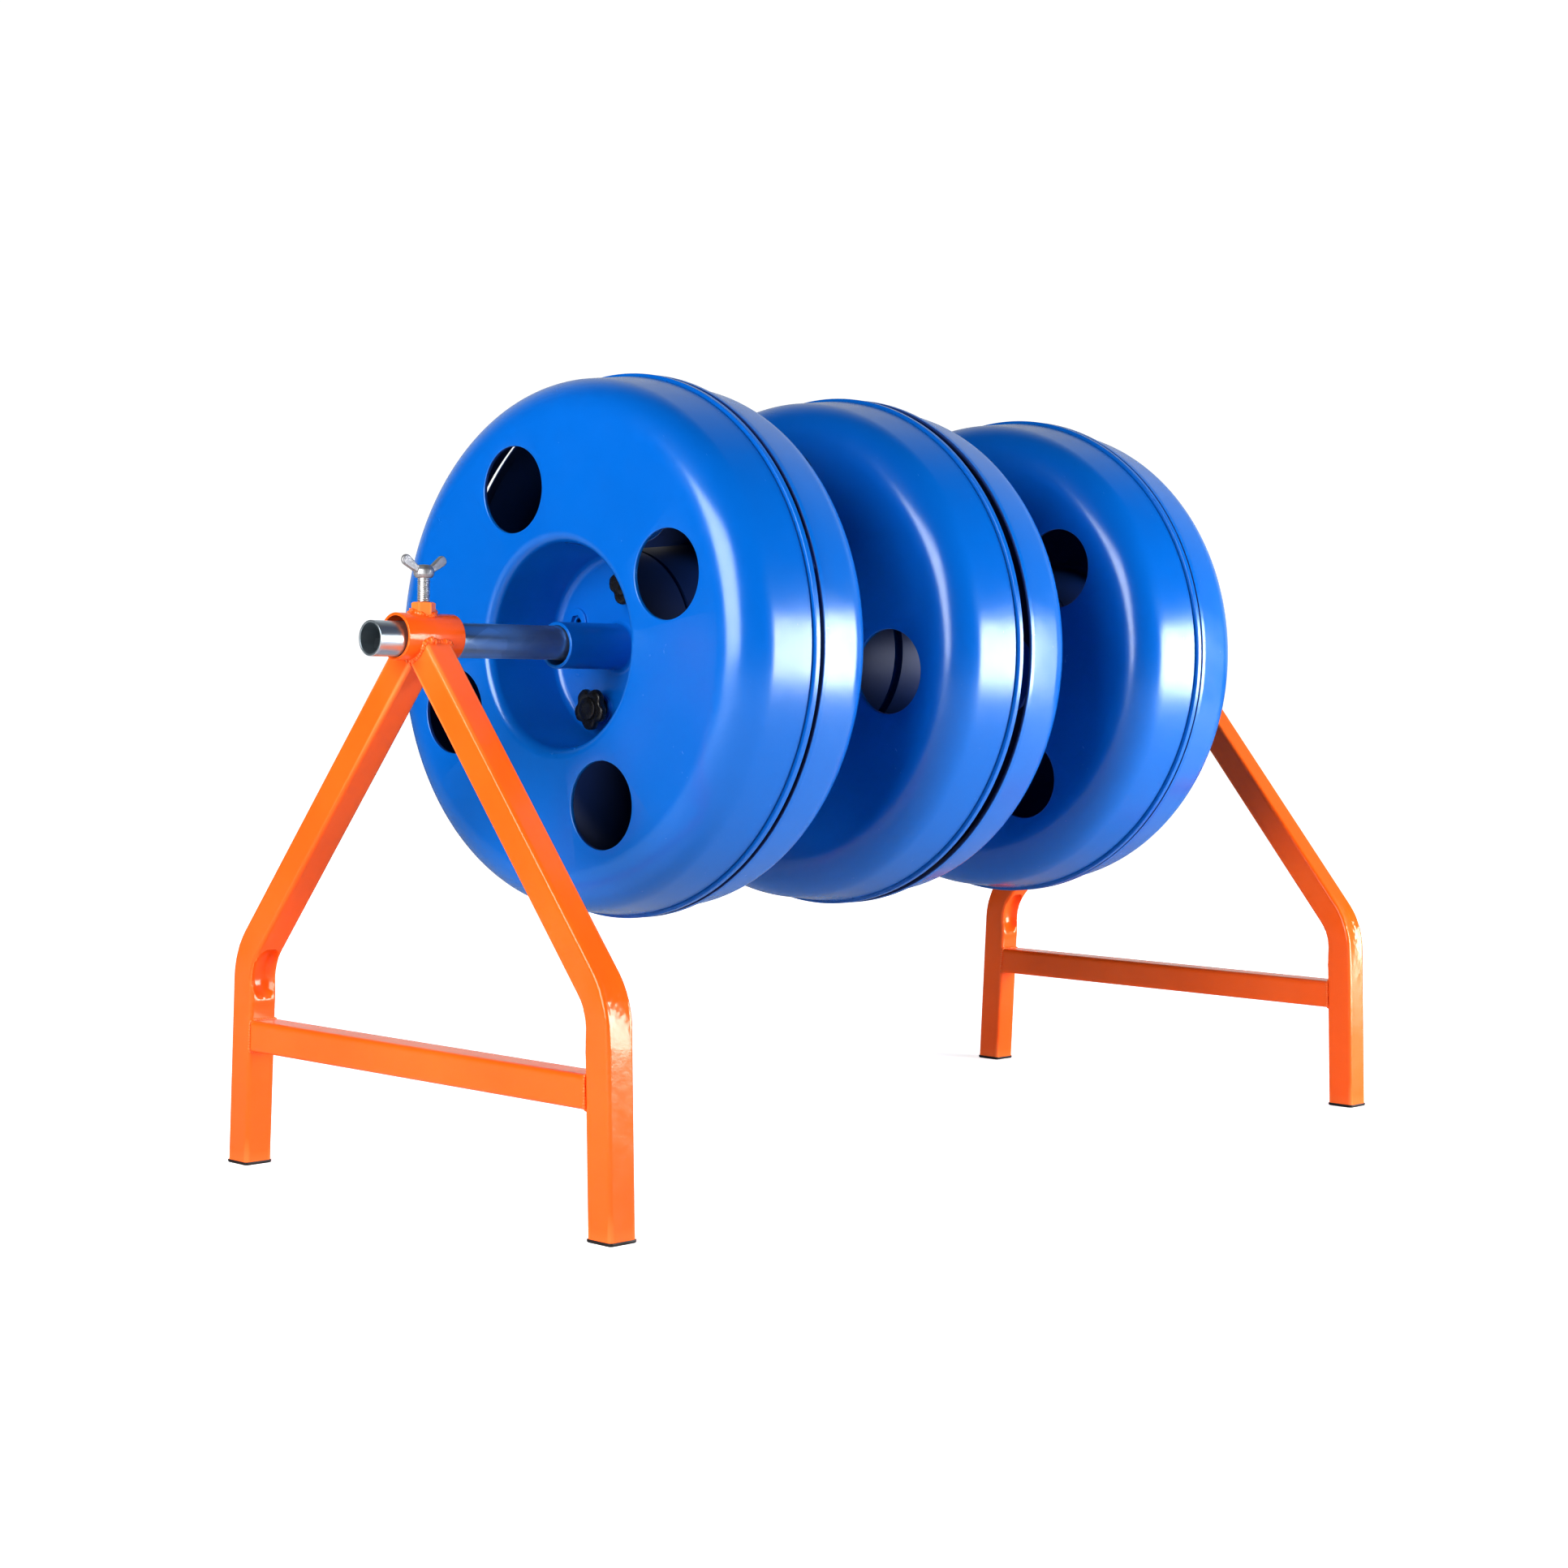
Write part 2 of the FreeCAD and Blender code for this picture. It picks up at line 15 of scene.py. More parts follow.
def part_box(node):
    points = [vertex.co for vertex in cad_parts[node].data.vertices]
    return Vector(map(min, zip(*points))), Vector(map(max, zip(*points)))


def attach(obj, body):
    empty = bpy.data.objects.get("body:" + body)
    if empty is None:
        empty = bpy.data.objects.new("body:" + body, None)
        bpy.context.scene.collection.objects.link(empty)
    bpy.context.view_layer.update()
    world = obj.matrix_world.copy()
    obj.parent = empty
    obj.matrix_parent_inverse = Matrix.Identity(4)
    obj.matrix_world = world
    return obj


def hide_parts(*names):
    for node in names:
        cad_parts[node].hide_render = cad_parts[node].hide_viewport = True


MM = 0.001
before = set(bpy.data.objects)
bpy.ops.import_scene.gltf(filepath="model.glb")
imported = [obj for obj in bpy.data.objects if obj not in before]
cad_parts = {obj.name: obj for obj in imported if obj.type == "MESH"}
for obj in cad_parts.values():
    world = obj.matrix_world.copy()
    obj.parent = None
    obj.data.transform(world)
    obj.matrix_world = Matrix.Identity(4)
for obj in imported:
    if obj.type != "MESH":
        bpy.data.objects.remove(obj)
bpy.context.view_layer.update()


def box_mm(node):
    """A CAD node's lowest and highest corners in millimetres."""
    return [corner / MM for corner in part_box(node)]


# ---------------------------------------------------------------- materials

class Nodes:
    """A short way to write a material's node tree."""

    def __init__(self, name):
        self.material = bpy.data.materials.new(name)
        self.material.use_nodes = True
        self.tree = self.material.node_tree
        self.shader = self.tree.nodes["Principled BSDF"]
        places = self.tree.nodes.new("ShaderNodeTexCoord").outputs
        self.coordinates, self.normal = places["Object"], places["Normal"]

    def link(self, output, target):
        self.tree.links.new(output, target)

    def stretch(self, scale):
        """Object coordinates scaled along each axis."""
        node = self.tree.nodes.new("ShaderNodeMapping")
        node.inputs["Scale"].default_value = scale
        self.link(self.coordinates, node.inputs["Vector"])
        return node.outputs["Vector"]

    def noise(self, scale, detail=2.0, roughness=0.5, vector=None):
        node = self.tree.nodes.new("ShaderNodeTexNoise")
        for key, number in (("Scale", scale), ("Detail", detail), ("Roughness", roughness)):
            node.inputs[key].default_value = number
        self.link(vector or self.coordinates, node.inputs["Vector"])
        return node.outputs["Fac"]

    def cells(self, scale, output="Color", vector=None):
        node = self.tree.nodes.new("ShaderNodeTexVoronoi")
        node.inputs["Scale"].default_value = scale
        self.link(vector or self.coordinates, node.inputs["Vector"])
        return node.outputs[output]

    def ramp(self, source, low, high, start=0.0, end=1.0):
        """Map source from start..end to low..high, clamped."""
        node = self.tree.nodes.new("ShaderNodeMapRange")
        for key, number in (("From Min", start), ("From Max", end), ("To Min", low), ("To Max", high)):
            node.inputs[key].default_value = number
        self.link(source, node.inputs["Value"])
        return node.outputs["Result"]

    def math(self, operation, first, second):
        node = self.tree.nodes.new("ShaderNodeMath")
        node.operation = operation
        for socket, item in zip(node.inputs, (first, second)):
            if isinstance(item, (int, float)):
                socket.default_value = item
            else:
                self.link(item, socket)
        return node.outputs["Value"]

    def vector_math(self, operation, first, second=None, output="Vector"):
        node = self.tree.nodes.new("ShaderNodeVectorMath")
        node.operation = operation
        for socket, item in zip(node.inputs, (first, second)):
            if isinstance(item, tuple):
                socket.default_value = item
            elif item:
                self.link(item, socket)
        return node.outputs[output]

    def blend(self, factor, first, second):
        """Colour from first to second as factor goes from 0 to 1; each is a colour or a socket."""
        node = self.tree.nodes.new("ShaderNodeMix")
        node.data_type = "RGBA"
        self.link(factor, node.inputs["Factor"])
        for socket, item in zip((node.inputs[6], node.inputs[7]), (first, second)):
            if isinstance(item, tuple):
                socket.default_value = (*item, 1)
            else:
                self.link(item, socket)
        return node.outputs[2]

    def bump(self, height, distance, under=None):
        node = self.tree.nodes.new("ShaderNodeBump")
        node.inputs["Distance"].default_value = distance
        node.inputs["Strength"].default_value = 1.0
        self.link(height, node.inputs["Height"])
        if under:
            self.link(under, node.inputs["Normal"])
        return node.outputs["Normal"]

    def edges(self, low, high):
        """0 on flat surface, up to 1 on convex edges."""
        node = self.tree.nodes.new("ShaderNodeNewGeometry")
        return self.ramp(node.outputs["Pointiness"], 0.0, 1.0, low, high)

    def inner_side(self):
        """1 on a half shell's surfaces inside the drum, 0 on its outer ones and in the well."""
        across = self.vector_math("MULTIPLY", self.coordinates, (0, 1, 1))
        outward = self.vector_math("NORMALIZE", across)
        reach = self.vector_math("LENGTH", across, output="Value")
        along = self.vector_math("DOT_PRODUCT", self.normal, (1, 0, 0), "Value")
        spread = self.vector_math("DOT_PRODUCT", self.normal, outward, "Value")
        # the core's wall shows its inner side outwards, the rim's wall shows it inwards
        sense = self.ramp(reach, 1, -1, 0.1035, 0.1045)
        facing = self.math("ADD", along, self.math("MULTIPLY", spread, sense))
        return self.math("MULTIPLY", self.ramp(facing, 0, 1, 0.05, 0.35),
                         self.ramp(reach, 0, 1, 0.085, 0.088))

    def finish(self, **sockets):
        """Set or link the shader's inputs."""
        for key, item in sockets.items():
            socket = self.shader.inputs[key.replace("_", " ")]
            if isinstance(item, tuple):
                socket.default_value = (*item, 1)
            elif isinstance(item, (int, float)):
                socket.default_value = item
            else:
                self.link(item, socket)
        return self.material


def blue_plastic():
    n = Nodes("blue_moulded_plastic")
    cloud = n.noise(5.0, 4.0)
    haze = n.noise(38.0, 5.0, 0.65)
    base = n.blend(n.ramp(cloud, 0, 1, 0.35, 0.7), (0.0002, 0.138, 0.49), (0.0003, 0.150, 0.525))
    # here it is wear only: convex edges a little paler in random patches
    edge_wear_and_highlight = n.blend(n.math("MULTIPLY", n.edges(0.53, 0.62), n.ramp(haze, 0, 0.35, 0.4, 0.7)),
                   base, (0.008, 0.22, 0.60))
    inside = n.inner_side()
    # painted shade: the surfaces inside the drum are coloured a much darker blue, as if little light reached
    # them
    colour = n.blend(inside, edge_wear_and_highlight, (0.0003, 0.036, 0.19))
    hairs = n.noise(60.0, 3.0, 0.6, vector=n.stretch((9.0, 1.0, 1.0)))
    polish = n.math("ADD", n.ramp(haze, 0.2, 0.28, 0.3, 0.75), n.ramp(hairs, 0.0, 0.05, 0.64, 0.85))
    rough = n.math("MAXIMUM", polish, n.ramp(inside, 0, 0.55))
    peel = n.bump(n.noise(210.0, 2.0), 0.00002)
    normal = n.bump(n.noise(26.0, 1.0), 0.00022, under=peel)
    return n.finish(Base_Color=colour, Roughness=rough, Normal=normal, IOR=1.6)


def orange_coat():
    n = Nodes("orange_powder_coat")
    cloud = n.noise(9.0, 4.0)
    base = n.blend(n.ramp(cloud, 0, 1, 0.35, 0.7), (0.94, 0.142, 0.013), (0.99, 0.160, 0.017))
    # painted highlight: convex edges such as the tube corners turn lighter and yellower by pointiness
    edge_wear_and_highlight = n.blend(n.math("MULTIPLY", n.edges(0.54, 0.62), 0.45), base, (1.0, 0.5, 0.2))
    dust = n.ramp(n.cells(260.0, output="Distance"), 1, 0, 0.02, 0.07)
    specks = n.blend(n.math("MULTIPLY", dust, n.ramp(n.noise(70.0), 0, 0.5, 0.62, 0.66)),
                     edge_wear_and_highlight, (0.25, 0.03, 0.005))
    rough = n.ramp(n.noise(45.0, 4.0, 0.6), 0.12, 0.22, 0.3, 0.7)
    peel = n.bump(n.noise(420.0, 2.0, 0.45), 0.00006)
    normal = n.bump(n.noise(95.0, 1.0), 0.00016, under=peel)
    return n.finish(Base_Color=specks, Roughness=rough, Normal=normal, IOR=1.5,
                    Specular_IOR_Level=0.45)


def galvanised_pipe():
    n = Nodes("galvanised_pipe")
    spangle = n.cells(75.0, vector=n.stretch((0.55, 1.0, 1.0)))
    streak = n.noise(90.0, 4.0, 0.6, vector=n.stretch((0.05, 1.0, 1.0)))
    base = n.blend(spangle, (0.40, 0.46, 0.50), (0.56, 0.63, 0.67))
    dull = n.blend(n.ramp(streak, 0, 0.6, 0.5, 0.75), base, (0.27, 0.33, 0.38))
    rough = n.math("ADD", n.ramp(streak, 0.26, 0.38, 0.3, 0.75), n.ramp(n.noise(18.0, 3.0), 0, 0.06))
    grain = n.bump(streak, 0.00003)
    normal = n.bump(n.noise(160.0, 3.0), 0.00002, under=grain)
    return n.finish(Base_Color=dull, Metallic=0.9, Roughness=rough, Normal=normal)


def zinc_plated():
    n = Nodes("zinc_plated_steel")
    cloud = n.noise(150.0, 3.0)
    base = n.blend(cloud, (0.68, 0.69, 0.70), (0.86, 0.87, 0.87))
    rough = n.ramp(n.noise(320.0, 3.0), 0.3, 0.44, 0.3, 0.7)
    normal = n.bump(n.noise(900.0, 2.0), 0.00002)
    return n.finish(Base_Color=base, Metallic=1.0, Roughness=rough, Normal=normal)


def cast_zinc():
    n = Nodes("cast_zinc")
    grit = n.noise(650.0, 4.0, 0.65)
    base = n.blend(n.noise(120.0, 3.0), (0.36, 0.36, 0.37), (0.52, 0.52, 0.53))
    rough = n.ramp(grit, 0.42, 0.6, 0.3, 0.7)
    normal = n.bump(grit, 0.00015)
    return n.finish(Base_Color=base, Metallic=0.85, Roughness=rough, Normal=normal)


def black_plastic(name, low, high, scale):
    n = Nodes(name)
    base = n.blend(n.noise(60.0, 4.0), (0.006, 0.006, 0.007), (0.016, 0.016, 0.017))
    scuffed = n.blend(n.math("MULTIPLY", n.edges(0.56, 0.7), 0.25), base, (0.05, 0.05, 0.05))
    rough = n.ramp(n.noise(scale, 4.0, 0.6), low, high, 0.3, 0.7)
    normal = n.bump(n.noise(scale * 8, 2.0), 0.00003)
    return n.finish(Base_Color=scuffed, Roughness=rough, Normal=normal)


BLUE = blue_plastic()
ORANGE = orange_coat()
PIPE = galvanised_pipe()
ZINC = zinc_plated()
CAST = cast_zinc()
KNOB = black_plastic("black_glossy_plastic", 0.2, 0.34, 90.0)
RUBBER = black_plastic("black_foot_plastic", 0.45, 0.65, 140.0)


# ---------------------------------------------------------------- meshes

def new_object(name, data):
    item = bpy.data.objects.new(name, data)
    bpy.context.scene.collection.objects.link(item)
    return item


def to_mesh(name, points, faces, sharp=32):
    """A closed, outward-facing mesh in metres, smooth up to the sharp angle in degrees."""
    mesh = bpy.data.meshes.new(name)
    mesh.from_pydata([tuple(Vector(point) * MM) for point in points], [], faces)
    shape = bmesh.new()
    shape.from_mesh(mesh)
    bmesh.ops.remove_doubles(shape, verts=shape.verts, dist=1e-6)
    bmesh.ops.recalc_face_normals(shape, faces=shape.faces)
    shape.to_mesh(mesh)
    shape.free()
    smooth(mesh, sharp)
    return mesh


def smooth(mesh, sharp):
    mesh.shade_smooth()
    mesh.set_sharp_from_angle(angle=math.radians(sharp))


def add_piece(name, mesh, material, body, replaced=(), place=None):
    """Show a mesh as one piece that rides on a body and stands for CAD nodes."""
    item = new_object(name, mesh)
    if not mesh.materials:
        mesh.materials.append(material)
    item.matrix_world = place or Matrix()
    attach(item, body)
    if replaced:
        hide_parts(*replaced)
    return item


def rounded(corners, step=7.0):
    """Points along straight runs through corners (x, y) or (x, y, radius).

    Each arc is divided at most every step degrees; larger arcs get one more point just before and after.
    """
    support = 0.4
    points = [Vector(corner[:2]) for corner in corners]
    path = []
    for i, corner in enumerate(corners):
        here = points[i]
        if len(corner) == 2:
            path.append(here)
            continue
        into = (here - points[i - 1]).normalized()
        out = (points[(i + 1) % len(points)] - here).normalized()
        turn = into.angle_signed(out)
        reach = corner[2] * math.tan(abs(turn) / 2)
        start = here - into * reach
        side = Vector((into.y, -into.x)) * (1 if turn > 0 else -1)
        centre = start + side * corner[2]
        pieces = max(3, math.ceil(math.degrees(abs(turn)) / step))
        if corner[2] > 3 * support:
            path.append(start - into * support)
        for j in range(pieces + 1):
            arm = start - centre
            arm.rotate(Matrix.Rotation(-turn * j / pieces, 2))
            path.append(centre + arm)
        if corner[2] > 3 * support:
            path.append(here + out * (reach + support))
    return path


def lathe(profile, segments, closed=True):
    """Revolve (x, r) points about the X axis."""
    points, faces = [], []
    for x, r in profile:
        for j in range(segments):
            turn = 2 * math.pi * j / segments
            points.append((x, r * math.cos(turn), r * math.sin(turn)))
    count = len(profile)
    for i in range(count if closed else count - 1):
        for j in range(segments):
            k, m = (j + 1) % segments, (i + 1) % count
            faces.append((i * segments + j, i * segments + k, m * segments + k, m * segments + j))
    return points, faces


def loft(rings):
    """Skin rings of points, closed at both ends."""
    count = len(rings[0])
    points = [point for ring in rings for point in ring]
    faces = []
    for i in range(len(rings) - 1):
        for j in range(count):
            k = (j + 1) % count
            faces.append((i * count + j, i * count + k, (i + 1) * count + k, (i + 1) * count + j))
    faces.append(tuple(range(count)))
    faces.append(tuple(range((len(rings) - 1) * count, len(rings) * count)))
    return points, faces


def square_section(width, radius, divisions):
    """Points (a, b) round a square with rounded corners, each side divided."""
    half, arc = width / 2, 5
    section = []
    for quarter in range(4):
        turn = Matrix.Rotation(math.pi / 2 * quarter, 2)
        for j in range(divisions + 1):
            section.append(turn @ Vector((half, -half + radius + (width - 2 * radius) * j / divisions)))
        for j in range(1, arc):
            angle = math.pi / 2 * j / arc
            section.append(turn @ Vector((half - radius + radius * math.cos(angle),
                                          half - radius + radius * math.sin(angle))))
    return section


def weld_bead(name, path, radius, body, closed=False, rough=0.12):
    """A rippled bead of weld along a path."""
    sides = 10
    fine = []
    count = len(path)
    for i in range(count if closed else count - 1):
        start, end = Vector(path[i]), Vector(path[(i + 1) % count])
        pieces = max(1, round((end - start).length / 0.7))
        fine += [start.lerp(end, j / pieces) for j in range(pieces)]
    if not closed:
        fine.append(Vector(path[-1]))
    total = len(fine)
    rings, travelled = [], 0.0
    side = None
    for i, here in enumerate(fine):
        after = fine[(i + 1) % total] if closed or i < total - 1 else here
        before = fine[i - 1] if closed or i > 0 else here
        along = (after - before).normalized()
        if side is None:
            side = along.orthogonal().normalized()
        side = (side - along * side.dot(along)).normalized()
        up = along.cross(side)
        travelled += (here - before).length
        size = radius * (1 + 0.1 * math.sin(2 * math.pi * travelled / 2.6)
                         + rough * 2 * noise.noise(here * 0.16))
        if not closed:
            size *= min(1.0, 0.35 + 0.3 * min(i, total - 1 - i))
        ring = []
        for j in range(sides):
            angle = 2 * math.pi * j / sides
            spoke = side * math.cos(angle) + up * math.sin(angle)
            ring.append(here + spoke * size * (1 + rough * noise.noise((here + spoke * 3) * 0.5)))
        rings.append(ring)
    if closed:
        points = [point for ring in rings for point in ring]
        faces = []
        for i in range(total):
            m = (i + 1) % total
            shift = 0
            if m == 0:  # the frame may come back turned: join each point to its nearest
                shift = min(range(sides), key=lambda s: (rings[0][s] - rings[-1][0]).length)
            for j in range(sides):
                k = (j + 1) % sides
                faces.append((i * sides + j, i * sides + k, m * sides + (k + shift) % sides,
                              m * sides + (j + shift) % sides))
    else:
        points, faces = loft(rings)
    return add_piece(name, to_mesh(name, points, faces, 60), ORANGE, body)


# ---------------------------------------------------------------- axle

def make_axle():
    low, high = box_mm("axle_pipe")
    outer, wall = (high.z - low.z) / 2, 2.0
    profile = rounded([(low.x, outer, 0.5), (high.x, outer, 0.5), (high.x, outer - wall, 0.4),
                       (low.x, outer - wall, 0.4)])
    place = Matrix.Translation((0, 0, (low.z + high.z) / 2 * MM))
    mesh = to_mesh("axle", *lathe(profile, 72))
    add_piece("axle_tube", mesh, PIPE, "axle", ["axle_pipe"], place)


# ---------------------------------------------------------------- stands

TUBE, TUBE_CORNER = 30.0, 3.6
SPLAY, LEAN = math.radians(2.15), math.radians(39.4)
BEND_RADIUS = 68.0
AXLE_HEIGHT = 507.0
FOOT_Y = 258.2
CAP_TOP = 3.0
COLLAR_HEIGHT, COLLAR_RADIUS, COLLAR_WALL, COLLAR_REACH = 509.3, 21.2, 2.6, 32.0
BAR_HEIGHT = 126.0
NUT_FLATS, STUD_RADIUS, STUD_PITCH = 19.0, 6.0, 1.75


def direction(angle):
    return Vector((-math.sin(angle), math.cos(angle)))


def inward(angle):
    return Vector((-math.cos(angle), -math.sin(angle)))


def leg_route():
    """(y, z) point, direction angle and distance from the bend's middle, along a rear leg's centre line."""
    bend_z = (AXLE_HEIGHT * math.tan(LEAN) - FOOT_Y) / (math.tan(LEAN) - math.tan(SPLAY))
    bend = Vector((FOOT_Y - bend_z * math.tan(SPLAY), bend_z))
    turn = LEAN - SPLAY
    reach = BEND_RADIUS * math.tan(turn / 2)
    half = BEND_RADIUS * turn / 2
    start = bend - direction(SPLAY) * reach
    centre = start + inward(SPLAY) * BEND_RADIUS
    route = []
    for distance in (150, 120, 100, 90, 80, 70, 60, 52, 46, 40, 35, 31,
                     28, 25, 22, 19, 16, 13, 11, 9, 7, 5, 3, 1.5):
        route.append((start - direction(SPLAY) * distance, SPLAY, -half - distance))
    steps = 40
    for i in range(steps + 1):
        angle = SPLAY + turn * i / steps
        route.append((centre - inward(angle) * BEND_RADIUS, angle, -half + 2 * half * i / steps))
    end = bend + direction(LEAN) * reach
    for distance in (1.5, 3, 5, 7, 9, 12, 15, 19, 24, 30, 60, 120, 200, 270):
        route.append((end + direction(LEAN) * distance, LEAN, half + distance))
    return route


def crushed(a, b, along):
    """Where a point (a, b) of the square section goes in the bend: b > 0 is the inner side."""
    half = TUBE / 2
    # the groove pressed into the inner wall: an arch at its top end, squarer at its lower end
    middle, reach, power = -8.0, 29.0, 2.4 if along > -8.0 else 5.0
    ring = abs(a / 13.2) ** 2.6 + abs((along - middle) / reach) ** power
    depth = 9.5 * max(0.0, 1 - ring) ** 0.75
    rolled = 1.3 * math.exp(-((along - middle) / 21.0) ** 4)
    lip = 1.1 * math.exp(-((along + 41.5) / 3.2) ** 2) * max(0.0, 1 - abs(a / half) ** 4)
    dish = 2.0 * math.exp(-(along / 24.0) ** 2) * max(0.0, 1 - abs(a / 14.0) ** 2.5)
    bulge = 0.9 * math.exp(-((along - middle) / 24.0) ** 2)
    if b > half - 3:
        b += -depth * min(1.0, (b - half + 3) / 2.9) - rolled * (abs(a) > 11.5) * (abs(a) - 11.5) / 3.5 + lip
    elif b < -half + 3:
        b += dish
    if abs(a) > half - 1:
        a += math.copysign(bulge * max(0.0, 1 - (b / half) ** 2), a)
    return a, b


def leg_end(start, way):
    """How far a line runs to the collar or to the plane where the legs meet, and if it meets the collar."""
    offset = start - Vector((0, COLLAR_HEIGHT))
    across = offset.dot(way)
    inside = across ** 2 - offset.length_squared + COLLAR_RADIUS ** 2
    to_collar = -across - math.sqrt(inside) if inside > 0 else 1e9
    to_mitre = -start.x / way.x
    return min(to_collar, to_mitre), to_collar < to_mitre


def make_leg(side, end, x, section, route):
    """One bent leg; returns where its top meets the collar and where it meets the other leg."""
    sign = -1 if end == "front" else 1
    rings, collar_line, mitre_line = [], [], []
    for index, (centre, angle, along) in enumerate(route):
        ring = []
        for a, b in section:
            wrinkle = 0.25 * noise.noise(Vector((a, b, along)) * 0.22) * math.exp(-(along / 26.0) ** 2)
            a, b = crushed(a, b, along)
            point = centre + inward(angle) * (b + wrinkle)
            if index == len(route) - 1:
                reach, on_collar = leg_end(point, direction(angle))
                point = point + direction(angle) * reach
                (collar_line if on_collar else mitre_line).append((x + a, sign * point.x, point.y))
            ring.append((x + a, sign * point.x, point.y))
        rings.append(ring)
    foot = []
    for px, py, pz in rings[0]:
        drop = pz - CAP_TOP
        foot.append((px, py + sign * drop * math.tan(SPLAY), CAP_TOP))
    name = f"{side}_{end}_leg"
    add_piece(name + "_tube", to_mesh(name, *loft([foot] + rings), 40), ORANGE, f"{side}_stand",
              [name])
    return collar_line, mitre_line


def make_foot(side, end, x):
    sign = -1 if end == "front" else 1
    rings = []
    for z, width in ((0, 28.6), (0.25, 30.0), (0.9, 31.0), (1.5, 31.2), (2.6, 31.2), (3.0, 30.8)):
        rings.append([(x + a, sign * FOOT_Y + b, z) for a, b in square_section(width, 2.9, 4)])
    name = f"{side}_{end}_foot_cap"
    add_piece(name + "_shoe", to_mesh(name, *loft(rings), 50), RUBBER, f"{side}_stand",
              [name])


def inner_face(z):
    """Distance from the middle plane to a leg's inner face at height z."""
    return FOOT_Y - z * math.tan(SPLAY) - TUBE / 2 / math.cos(SPLAY)


def make_crossbar(side, x):
    section = square_section(TUBE, TUBE_CORNER, 8)
    rings = []
    for share in (-1, -0.98, -0.9, -0.6, -0.3, 0, 0.3, 0.6, 0.9, 0.98, 1):
        rings.append([(x + a, share * (inner_face(BAR_HEIGHT + b) + 0.4), BAR_HEIGHT + b)
                      for a, b in section])
    name = side + "_crossbar"
    add_piece(name + "_tube", to_mesh(name, *loft(rings), 50), ORANGE, f"{side}_stand",
              [name])
    for word, sign in (("front", -1), ("rear", 1)):
        ring = [(x + a * 1.01, sign * inner_face(BAR_HEIGHT + b), BAR_HEIGHT + b * 1.01)
                for a, b in square_section(TUBE, TUBE_CORNER, 6)]
        weld_bead(f"{side}_crossbar_{word}_weld", ring, 1.5, f"{side}_stand", closed=True, rough=0.22)


def make_collar(side, x):
    bore = COLLAR_RADIUS - COLLAR_WALL
    profile = rounded([(-COLLAR_REACH, COLLAR_RADIUS, 0.5), (COLLAR_REACH, COLLAR_RADIUS, 0.5),
                       (COLLAR_REACH, bore, 0.4), (-COLLAR_REACH, bore, 0.4)])
    place = Matrix.Translation((x * MM, 0, COLLAR_HEIGHT * MM))
    name = side + "_collar"
    add_piece(name + "_tube", to_mesh(name, *lathe(profile, 96)), ORANGE, f"{side}_stand",
              [name], place)


def hexagon(flats, low, high, chamfer, hole=0.0):
    """A hexagon about the Z axis, chamfer 1 or 0 for its upper corners; an optional round hole."""
    turns, rings = 72, []
    steps = [(hole, low), (flats / 2 - 0.4, low), ("edge", low), ("edge", high), (flats / 2 - 0.4, high),
             (hole, high)]
    for reach, z in steps:
        ring = []
        for j in range(turns):
            angle = 2 * math.pi * j / turns
            corner = flats / 2 / math.cos((angle + math.pi / 6) % (math.pi / 3) - math.pi / 6)
            radius = corner if reach == "edge" else reach
            slope = max(0.0, radius - flats / 2 + 0.4) * 0.577
            height = z if z == low else z - slope * chamfer
            ring.append((radius * math.cos(angle), radius * math.sin(angle), height))
        rings.append(ring)
    points = [point for ring in rings for point in ring]
    faces = []
    count = len(rings)
    for i in range(count if hole else count - 1):
        m = (i + 1) % count
        for j in range(turns):
            k = (j + 1) % turns
            faces.append((i * turns + j, i * turns + k, m * turns + k, m * turns + j))
    return points, faces


def thread(radius, pitch, low, high, turns=36):
    """A rod with a helical thread about the Z axis, tapered at both ends."""
    taper = 1.2
    steps = round((high - low) / pitch * 10)
    rings = []
    for i in range(steps + 1):
        z = low + (high - low) * i / steps
        lead = min(1.0, min(z - low, high - z) / taper * 0.5 + 0.5)
        ring = []
        for j in range(turns):
            angle = 2 * math.pi * j / turns
            wave = abs(((z / pitch - j / turns) % 1.0) * 2 - 1)
            groove = 0.61 * pitch * min(1.0, max(0.0, (wave - 0.12) / 0.76))
            r = (radius - groove) * lead if lead < 1 else radius - groove
            ring.append((r * math.cos(angle), r * math.sin(angle), z))
        rings.append(ring)
    return loft(rings)


def make_clamp(side, x):
    """The nut welded on the collar, and the wing screw's threaded stud and cast head."""
    low, high = box_mm(f"{side}_clamp_nut")
    stand = f"{side}_stand"
    place = Matrix.Translation((x * MM, 0, 0))
    nut = to_mesh(side + "_nut", *hexagon(NUT_FLATS, low.z + 0.2, high.z, 1, STUD_RADIUS + 0.05), 25)
    add_piece(side + "_clamp_nut_hex", nut, ORANGE, stand, [f"{side}_clamp_nut"], place)
    ring = []
    for j in range(28):
        angle = 2 * math.pi * j / 28
        reach = 10.6 + 0.8 * math.sin(3 * angle + 1)
        y = reach * math.sin(angle)
        ring.append((x + reach * math.cos(angle), y,
                     COLLAR_HEIGHT + math.sqrt(COLLAR_RADIUS ** 2 - y * y) + 0.5))
    weld_bead(side + "_nut_weld", ring, 2.5, stand, closed=True, rough=0.6)

    low, high = box_mm(f"{side}_wing_screw_stud")
    stud = to_mesh(side + "_stud", *thread(STUD_RADIUS, STUD_PITCH, low.z, high.z), 50)
    add_piece(side + "_threaded_stud", stud, ZINC, f"{side}_screw",
              [f"{side}_wing_screw_stud"], place)

    low = box_mm(f"{side}_wing_head")[0]
    add_piece(side + "_wing_casting", wing_mesh(side), CAST, f"{side}_wing",
              [f"{side}_wing_head"], Matrix.Translation((x * MM, 0, low.z * MM)))


